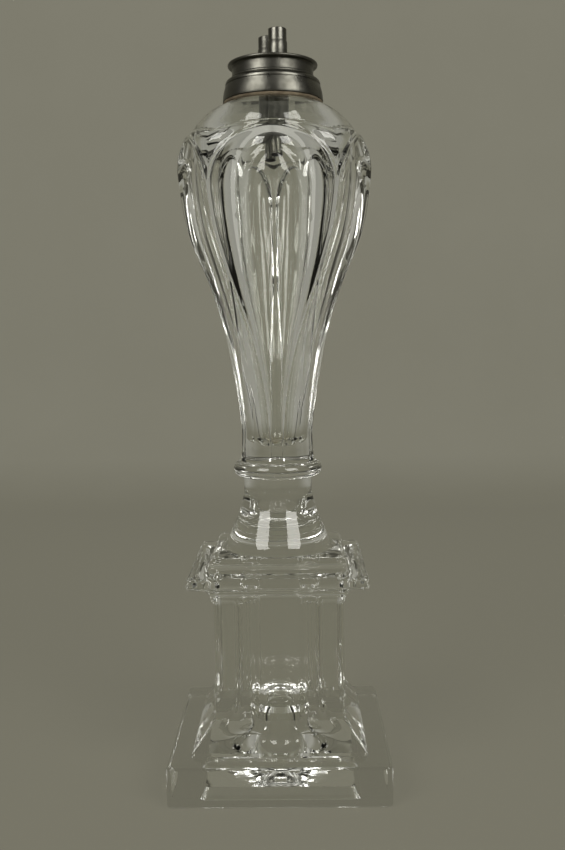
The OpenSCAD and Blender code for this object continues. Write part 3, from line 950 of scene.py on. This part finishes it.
@dataclass
class Burner:
    """Screw burner: cap, threaded sleeve, plate, and two tubes with their wicks."""

    rim: float = 16.9
    rim_edge: float = 0.6
    wall: float = 15.3
    wall_sheet: float = 1.1
    bead: float = 0.6
    crown: float = 1.0
    sleeve: float = 11.7
    sleeve_sheet: float = 1.2
    thread: float = 0.22
    pitch: float = 1.7
    tube: float = 3.7
    tube_wall: float = 0.6
    tube_lap: float = 0.14
    tube_offset: float = 5.5
    turn: float = 21.0
    tip: float = 4.8
    tip_step: float = 0.22
    wick: float = 2.8
    vent: float = 0.8
    roles: dict[str, Role] = field(default_factory=lambda: {
        "cap": Role("burner_top", "burner_cap", Body.BURNER, Slot.PEWTER),
        "sleeve": Role("threaded_sleeve", "burner_sleeve", Body.BURNER, Slot.DARK_PEWTER),
        "plate": Role("sleeve_plate", "burner_plate", Body.BURNER, Slot.DARK_PEWTER),
        "front tube": Role("front_tube", "wick_tube_front", Body.BURNER, Slot.PEWTER),
        "rear tube": Role("rear_tube", "wick_tube_rear", Body.BURNER, Slot.PEWTER),
        "front wick": Role("front_cotton", "wick_front", Body.FRONT_WICK, Slot.COTTON),
        "rear wick": Role("rear_cotton", "wick_rear", Body.REAR_WICK, Slot.COTTON)})

    def seat(self, side: int) -> Vector:
        """Middle of the front tube, for -1, or of the rear tube, for 1."""
        return Matrix.Rotation(math.radians(self.turn), 3, "Z") @ Vector((0, side * self.tube_offset, 0))

    def holes(self) -> list[tuple[float, float, float]]:
        """Place and radius of the holes for the tubes."""
        return [(*self.seat(side).xy, self.tube) for side in (-1, 1)]

    def build_cap(self, pewter: bpy.types.Material) -> None:
        """Makes the cap."""
        low, high = levels("burner_cap")
        rim_top = high - self.crown
        rim_low = rim_top - 2 * self.rim_edge
        profile = [(0, high), (self.sleeve * 0.6, high), (self.sleeve * 0.82, high - 0.2),
                   (self.sleeve, rim_top + self.crown * 0.4), (13.2, rim_top - 0.25), (14.0, rim_top - 0.3),
                   (14.7, rim_top - 0.05), (15.2, rim_top)]
        profile += arc((self.rim - self.rim_edge, rim_top - self.rim_edge), self.rim_edge, 90, -90, 10)
        profile += [(self.wall + 0.25, rim_low), (self.wall, rim_low - 0.3), (self.wall, low + 2.2 * self.bead)]
        profile += arc((self.wall, low + self.bead), self.bead, 75, -90, 9)
        inner = self.wall - self.wall_sheet
        profile += [(inner, low), (inner, rim_low), (0, rim_low)]
        vent = Matrix.Rotation(math.radians(self.turn), 3, "Z") @ Vector((self.tube_offset + self.vent, 0, 0))
        bm = drilled(spun(profile), [*self.holes(), (*vent.xy, self.vent)], rim_top)
        self.roles["cap"].show(bm, [pewter], 38.0)

    def build_sleeve(self, pewter: bpy.types.Material) -> None:
        """Makes the sleeve with its screw thread."""
        low, high = levels("burner_sleeve")
        inner = self.sleeve - self.sleeve_sheet
        thread_low, thread_high = low + 1.0, low + 11.6
        outside = 96
        rows = [(self.sleeve, low + (high - low) * i / outside) for i in range(outside + 1)]
        rows += [(inner, high), (inner, low), (self.sleeve, low)]
        columns = 96

        def place(row: int, column: int) -> Vector:
            """The point in one row and column."""
            radius, level = rows[row]
            around = math.tau * column / columns
            if row <= outside:
                fade = ease(level - thread_low) * ease(thread_high - level)
                radius += self.thread * fade * math.sin(math.tau * level / self.pitch - around)
            return Vector((radius * math.cos(around), radius * math.sin(around), level))

        self.roles["sleeve"].show(rolled(len(rows), columns, place), [pewter], 50.0)

    def build_plate(self, pewter: bpy.types.Material) -> None:
        """Makes the plate that closes the sleeve."""
        low, high = levels("burner_plate")
        radius = self.sleeve - self.sleeve_sheet
        profile = [(0, low), *arc((radius - 0.3, low + 0.3), 0.3, -90, 0, 3), (radius, high), (0, high)]
        self.roles["plate"].show(drilled(spun(profile), self.holes(), low), [pewter], 38.0)

    def build_tube(self, side: int, pewter: bpy.types.Material) -> None:
        """Makes one tube: rolled sheet with a lapped seam and a narrower tip."""
        name = "front tube" if side < 0 else "rear tube"
        low, high = levels(self.roles[name].node)
        bore = self.tube - self.tube_wall
        step = high - self.tip
        outside = [(self.tube, low + (step - low) * i / 12) for i in range(13)]
        outside += [(self.tube - self.tip_step, step + 0.25)]
        outside += [(self.tube - self.tip_step, step + 0.25 + (high - 0.15 - step - 0.25) * i / 6)
                    for i in range(1, 7)]
        rows = outside + [(self.tube - self.tip_step - 0.15, high), (bore + 0.1, high), (bore, high - 0.15),
                          (bore, low), (self.tube, low)]
        columns = 72
        middle = self.seat(side)
        seam = 200.0 if side < 0 else 40.0

        def place(row: int, column: int) -> Vector:
            """The point in one row and column."""
            radius, level = rows[row]
            turn = 360 * column / columns
            if radius > bore + 0.2:
                radius -= self.tube_lap * ease(((turn - seam) % 360) / 330)
            if level > high - 0.2:
                level -= hand_pull(column * 0.4, side * 5.0, 0.0, 0.2, 2.0)
            around = math.radians(turn)
            return middle + Vector((radius * math.cos(around), radius * math.sin(around), level))

        self.roles[name].show(rolled(len(rows), columns, place), [pewter], 42.0)

    def build_wick(self, side: int, cotton: bpy.types.Material) -> None:
        """Makes one wick: twisted strands with a frayed, charred top."""
        name = "front wick" if side < 0 else "rear wick"
        low, high = levels(self.roles[name].node)
        strands, groove, twist = 5, 0.3, 9.0
        steps = 110
        rows = [(0.0, low), (0.8, low)] + [(1.0, low + (high - 0.5 - low) * i / steps) for i in range(steps + 1)]
        rows += [(0.85, high - 0.15), (0.55, high - 0.05), (0.0, high - 0.1)]
        columns = 60
        middle = self.seat(side)

        def place(row: int, column: int) -> Vector:
            """The point in one row and column."""
            share, level = rows[row]
            around = math.tau * column / columns
            lay = math.sin(strands / 2 * (around + math.tau * level / twist / strands * 2))
            radius = share * (self.wick - groove * (1 - abs(lay)) ** 2)
            if level > high - 1 and share > 0:
                level -= hand_pull(column * 0.5, share * 9, side * 3.0, 0.5, 1.1)
            return middle + Vector((radius * math.cos(around), radius * math.sin(around), level))

        self.roles[name].show(rolled(len(rows), columns, place), [cotton], 60.0)


@dataclass
class Studio:
    """Camera, paper sweep, soft lights and the dim room. Sizes are metres."""

    eye: tuple[float, float, float] = (0.00695, -0.37476, 0.16921)
    pan: float = 0.746
    tilt: float = 84.738
    roll: float = -0.707
    lens: float = 41.04
    floor_front: float = -6.0
    floor_back: float = 0.55
    sweep: float = 0.15
    wall_top: float = 3.0
    half_width: float = 5.0
    room_tone: Colour = (0.20, 0.193, 0.155)
    room_light: Colour = (0.055, 0.054, 0.048)
    wall_light: Colour = (0.46, 0.455, 0.41)
    above: float = 0.55
    wall_from: float = 0.1
    wall_to: float = 0.75
    light_colour: Colour = (1.0, 0.985, 0.94)
    light_radiance: float = 7.0
    light_angle: float = 42.0
    light_reach: float = 1.034
    light_width: float = 0.62
    light_height: float = 0.9
    light_level: float = 0.95

    def build_camera(self) -> None:
        """Makes the camera at the photograph's viewing angle."""
        camera = bpy.data.objects.new("camera", bpy.data.cameras.new("camera"))
        camera.data.lens = self.lens
        camera.data.clip_start = 0.01
        turned = Matrix.Rotation(math.radians(self.pan), 4, "Z") @ Matrix.Rotation(math.radians(self.tilt), 4, "X")
        turned = turned @ Matrix.Rotation(math.radians(self.roll), 4, "Z")
        camera.matrix_world = Matrix.Translation(self.eye) @ turned
        bpy.context.scene.collection.objects.link(camera)
        bpy.context.scene.camera = camera

    def build_paper(self, finish: Backdrop) -> None:
        """Makes the floor that sweeps up into the wall."""
        bend = arc((self.floor_back, self.sweep), self.sweep, -90, 0, 12)
        path = [(self.floor_front, 0.0), (-1.0, 0.0), *bend, (self.floor_back + self.sweep, self.wall_top)]
        bm = bmesh.new()
        bmesh.ops.create_grid(bm, x_segments=8, y_segments=len(path) - 1, size=1)
        for vert in bm.verts:
            row = round((vert.co.y + 1) / 2 * (len(path) - 1))
            vert.co = (vert.co.x * self.half_width, *path[row])
        mesh = bpy.data.meshes.new("paper_sweep")
        bm.to_mesh(mesh)
        bm.free()
        mesh.shade_smooth()
        mesh.materials.append(finish.make())
        paper = bpy.data.objects.new("paper_sweep", mesh)
        bpy.context.scene.collection.objects.link(paper)

    def build_lights(self) -> None:
        """Makes two upright soft lights in front, one each side."""
        power = self.light_radiance * math.pi * self.light_width * self.light_height
        for name, side in (("left_light", -1), ("right_light", 1)):
            data = bpy.data.lights.new(name, "AREA")
            data.shape = "RECTANGLE"
            data.size, data.size_y = self.light_width, self.light_height
            data.energy = power
            data.color = self.light_colour
            light = bpy.data.objects.new(name, data)
            a = math.radians(self.light_angle)
            back = Vector((side * math.sin(a), -math.cos(a), 0))
            up = Vector((0, 0, 1))
            turned = Matrix((up.cross(back), up, back)).transposed().to_4x4()
            light.matrix_world = Matrix.Translation(back * self.light_reach + up * self.light_level) @ turned
            bpy.context.scene.collection.objects.link(light)

    def build_room(self) -> None:
        """Makes the world: even paper tone for the eye, and a dim room with lit side walls behind glass."""
        world = bpy.data.worlds.new("room")
        bpy.context.scene.world = world
        world.use_nodes = True
        tree = Tree(world.node_tree)
        path = tree.add("LightPath").outputs
        way = tree.add("SeparateXYZ", {"Vector": tree.add("TexCoord").outputs["Generated"]}).outputs
        spread = tree.sum_up("ADD", tree.sum_up("ABSOLUTE", way[0]), tree.sum_up("MULTIPLY", way[2], self.above))
        beside = tree.add("MapRange", {"Value": spread, "From Min": self.wall_from, "From Max": self.wall_to},
                          clamp=True, interpolation_type="SMOOTHSTEP")
        walls = self.choose(tree, beside.outputs[0], (*self.room_light, 1), (*self.wall_light, 1))
        through = self.choose(tree, path["Is Transmission Ray"], (*self.room_light, 1), walls)
        seen = self.choose(tree, path["Is Camera Ray"], through, (*self.room_tone, 1))
        tree.tree.links.new(seen, world.node_tree.nodes["Background"].inputs["Color"])

    @staticmethod
    def choose(tree: Tree, share: bpy.types.NodeSocket, first: object, second: object) -> bpy.types.NodeSocket:
        """The first colour where share is 0 and the second where it is 1."""
        return tree.add("Mix", {0: share, 6: first, 7: second}, data_type="RGBA").outputs[2]


def main() -> None:
    """Builds the studio and the lamp."""
    logging.basicConfig(level=logging.INFO, format="%(name)s %(message)s")
    bpy.context.scene.view_settings.view_transform = "Standard"
    studio = Studio()
    studio.build_camera()
    studio.build_paper(Backdrop("paper"))
    studio.build_lights()
    studio.build_room()

    glass = Glass("flint_glass").make()
    font_glass = Glass("font_glass", stain=(0.6, 0.5, 0.3)).make()
    fused = FusedJoint("fused_joint").make()
    pewter = Pewter("turned_pewter").make()
    collar_pewter = Pewter("collar_pewter", smooth=0.26, rough=0.42).make()
    dark = Pewter("dark_pewter", bright=(0.16, 0.15, 0.13), dull=(0.07, 0.065, 0.055), smooth=0.35,
                  rough=0.6).make()
    plaster = Plaster("old_plaster").make()
    cotton = Cotton("wick_cotton").make()

    PressedBase().build(glass, fused)
    Wafer().build(glass, fused)
    LoopedFont().build(font_glass, fused)
    collar = Collar()
    collar.build(collar_pewter)
    collar.build_plaster(plaster)
    burner = Burner()
    burner.build_cap(pewter)
    burner.build_sleeve(dark)
    burner.build_plate(dark)
    for side in (-1, 1):
        burner.build_tube(side, pewter)
        burner.build_wick(side, cotton)


if __name__ == "__main__":
    main()
